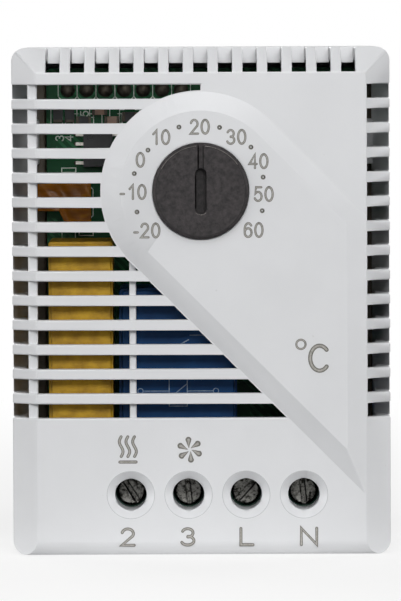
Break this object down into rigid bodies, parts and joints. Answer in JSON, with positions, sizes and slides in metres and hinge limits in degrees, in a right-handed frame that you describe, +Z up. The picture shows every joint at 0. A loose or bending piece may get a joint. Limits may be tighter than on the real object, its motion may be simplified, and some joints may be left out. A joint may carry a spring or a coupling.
{
  "type": "thermostat",
  "caption": "Rail-mounted cabinet thermostat: louvred light grey housing, raised dial plate with a slotted dial, screw terminals below, sprung rail latch behind.",
  "frame": {"origin": "middle of the rail seat, level with the middle of the housing's height and width", "axes": "+Z up the housing, +Y back towards the rail, -Y out of the front face, +X to the right as seen from the front"},
  "size_m": [0.05, 0.0384, 0.067],
  "materials": {
    "cover_plastic": "light grey moulded plastic, fine satin texture",
    "base_plastic": "light grey moulded plastic, satin",
    "latch_plastic": "light grey moulded plastic, satin",
    "spring_steel": "bright spring wire",
    "dial_plastic": "charcoal moulded plastic, spark-eroded grain",
    "shaft_plastic": "natural moulded plastic",
    "part_body": "black moulded epoxy",
    "board_laminate": "green solder mask over glass laminate",
    "block_plastic": "green moulded polyamide",
    "plated_metal": "tin-plated metal",
    "screw_steel": "zinc-plated steel, passivated",
    "relay_plastic": "blue moulded case",
    "film_case": "ochre moulded case",
    "ceramic_chip": "brown ceramic chip",
    "solder": "dull lead-free solder",
    "amber_film": "translucent amber polyimide film",
    "can_aluminium": "drawn can",
    "sleeve_film": "shrunk sleeve",
    "varistor_coat": "dipped epoxy coat"
  },
  "bodies": {
    "housing": {"front_cover": "cover_plastic", "rear_base": "base_plastic", "latch_spring": "spring_steel", "potentiometer": "part_body", "potentiometer_pins": "plated_metal", "circuit_board": "board_laminate", "terminal_block": "block_plastic", "contact_bars": "plated_metal", "relay_case": "relay_plastic", "relay_base": "relay_plastic", "relay_pins": "plated_metal", "film_capacitor": "film_case", "film_capacitor_leads": "plated_metal", "control_chip": "part_body", "control_chip_leads": "plated_metal", "chip_resistors": "part_body", "chip_capacitors": "ceramic_chip", "board_connector": "part_body", "connector_pins": "solder", "sensor_bead": "part_body", "sensor_leads": "plated_metal", "sensor_tape": "amber_film", "smoothing_capacitor": "can_aluminium", "capacitor_sleeve": "sleeve_film", "bridge_rectifier": "part_body", "rectifier_leads": "plated_metal", "varistor": "varistor_coat", "varistor_leads": "plated_metal", "driver_transistor": "part_body", "transistor_leads": "plated_metal"},
    "latch": {"rail_latch": "latch_plastic"},
    "adjuster": {"dial": "dial_plastic", "adjuster_shaft": "shaft_plastic"},
    "screw_1": {"terminal_screw_1": "screw_steel"},
    "clamp_1": {"clamp_cage_1": "plated_metal"},
    "screw_2": {"terminal_screw_2": "screw_steel"},
    "clamp_2": {"clamp_cage_2": "plated_metal"},
    "screw_3": {"terminal_screw_3": "screw_steel"},
    "clamp_3": {"clamp_cage_3": "plated_metal"},
    "screw_4": {"terminal_screw_4": "screw_steel"},
    "clamp_4": {"clamp_cage_4": "plated_metal"}
  },
  "joints": [
    {"name": "dial_turn", "type": "hinge", "parent": "housing", "child": "adjuster", "pos_m": [0, -0.0328, 0.0146], "axis": [0, 1, 0], "range_deg": [-126, 126]},
    {"name": "latch_slide", "type": "slide", "parent": "housing", "child": "latch", "axis": [0, 0, -1], "range_m": [0, 0.0025], "stiffness_N_per_m": 900, "springref_m": -0.0015, "deforming": ["latch_spring"]},
    {"name": "screw_1_turn", "type": "hinge", "parent": "housing", "child": "screw_1", "pos_m": [-0.0094, -0.022, -0.0255], "axis": [0, 1, 0], "range_deg": [0, 1584]},
    {"name": "clamp_1_rise", "type": "slide", "parent": "housing", "child": "clamp_1", "axis": [0, -1, 0], "range_m": [0, 0.0022]},
    {"name": "screw_2_turn", "type": "hinge", "parent": "housing", "child": "screw_2", "pos_m": [-0.00178, -0.022, -0.0255], "axis": [0, 1, 0], "range_deg": [0, 1584]},
    {"name": "clamp_2_rise", "type": "slide", "parent": "housing", "child": "clamp_2", "axis": [0, -1, 0], "range_m": [0, 0.0022]},
    {"name": "screw_3_turn", "type": "hinge", "parent": "housing", "child": "screw_3", "pos_m": [0.00584, -0.022, -0.0255], "axis": [0, 1, 0], "range_deg": [0, 1584]},
    {"name": "clamp_3_rise", "type": "slide", "parent": "housing", "child": "clamp_3", "axis": [0, -1, 0], "range_m": [0, 0.0022]},
    {"name": "screw_4_turn", "type": "hinge", "parent": "housing", "child": "screw_4", "pos_m": [0.01346, -0.022, -0.0255], "axis": [0, 1, 0], "range_deg": [0, 1584]},
    {"name": "clamp_4_rise", "type": "slide", "parent": "housing", "child": "clamp_4", "axis": [0, -1, 0], "range_m": [0, 0.0022]}
  ],
  "couplings": [
    {"joint": "screw_1_turn", "follows": "clamp_1_rise", "rad_per_m": 12566},
    {"joint": "screw_2_turn", "follows": "clamp_2_rise", "rad_per_m": 12566},
    {"joint": "screw_3_turn", "follows": "clamp_3_rise", "rad_per_m": 12566},
    {"joint": "screw_4_turn", "follows": "clamp_4_rise", "rad_per_m": 12566}
  ]
}
